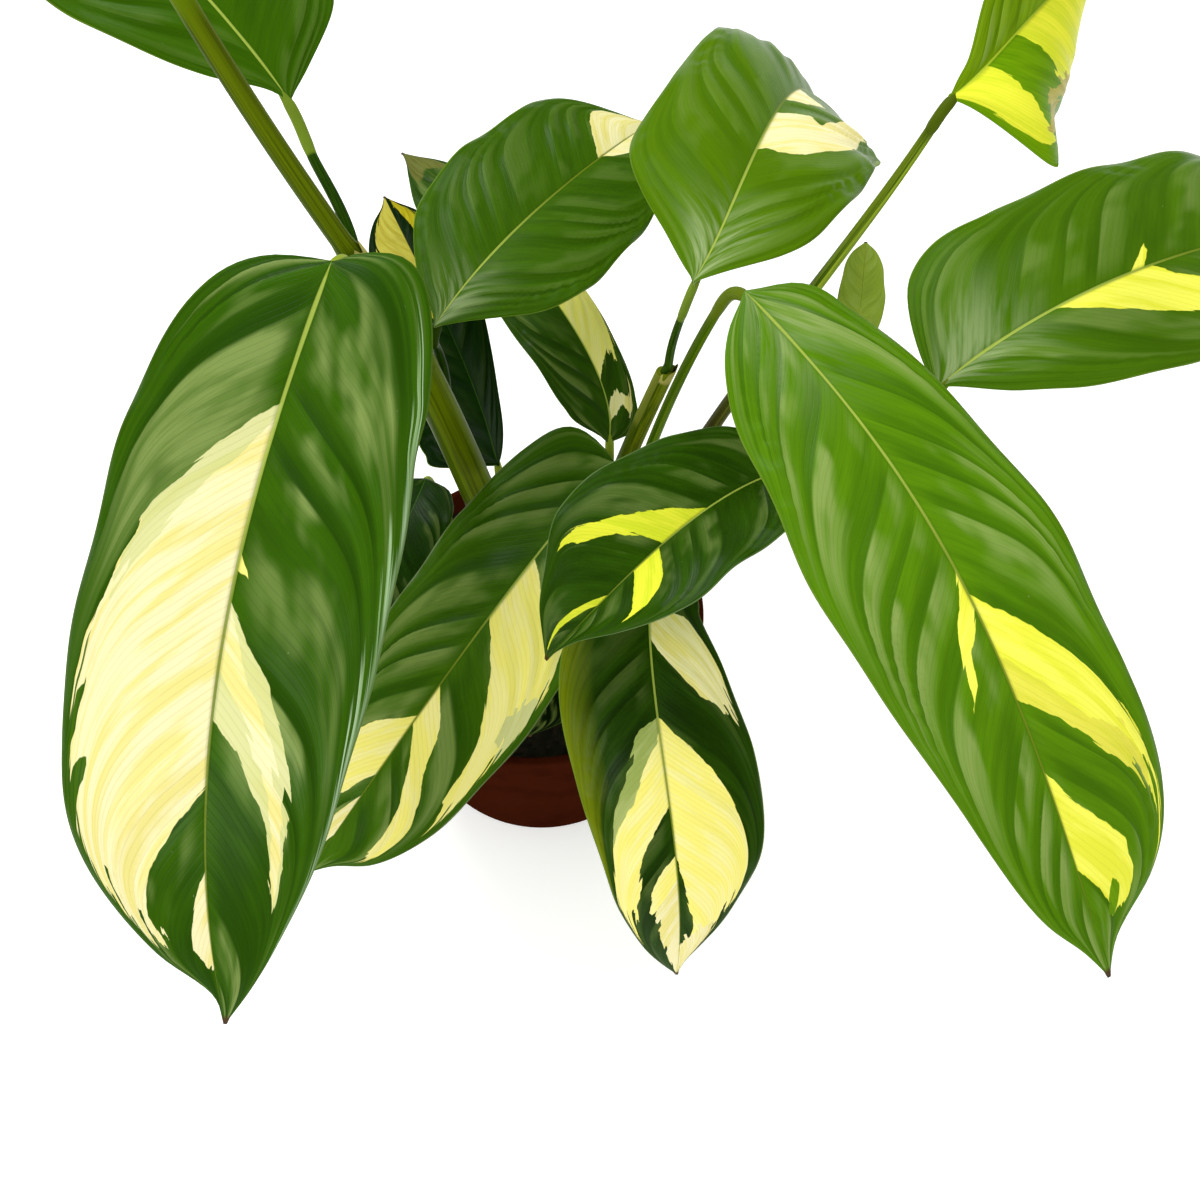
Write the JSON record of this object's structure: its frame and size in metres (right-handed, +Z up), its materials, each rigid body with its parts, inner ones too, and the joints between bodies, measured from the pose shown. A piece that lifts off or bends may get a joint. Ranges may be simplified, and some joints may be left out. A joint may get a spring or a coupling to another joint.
{
  "type": "potted ctenanthe plant",
  "caption": "Potted prayer-plant relative: oblong leaves on long stalks, green with cream and yellow sectors along the veins, in a round tapered pot.",
  "frame": {"origin": "centre of the pot's underside", "axes": "+Z up along the pot's axis, -Y towards the viewer's side with the hanging leaves, +X to the viewer's right"},
  "size_m": [0.5473, 0.3734, 0.4809],
  "materials": {
    "pot_plastic": "smooth moulded terracotta-coloured plastic",
    "soil": "dark crumbly potting soil",
    "stem": "smooth yellow-green stem with dry sheaths",
    "leaf": "satin green blade with cream and yellow sectors",
    "leaf_lime": "satin lime and green blade",
    "leaf_dark": "satin dark green blade",
    "leaf_young": "dull olive blade"
  },
  "bodies": {
    "root": {"pot": "pot_plastic", "soil": "soil", "stem_left": "stem", "stem_centre": "stem", "leaf_front_left": "leaf", "leaf_front_low_left": "leaf", "leaf_front_centre": "leaf", "leaf_front_right": "leaf", "leaf_centre_small": "leaf", "leaf_back_left": "leaf", "leaf_top_centre": "leaf", "leaf_right": "leaf", "leaf_top_right": "leaf_lime", "leaf_top_left": "leaf", "leaf_summit": "leaf", "leaf_back_low_left": "leaf_dark", "leaf_back_centre": "leaf_dark", "leaf_young_right": "leaf_young", "leaf_low_left": "leaf_dark", "leaf_low_centre": "leaf_dark"}
  },
  "joints": []
}
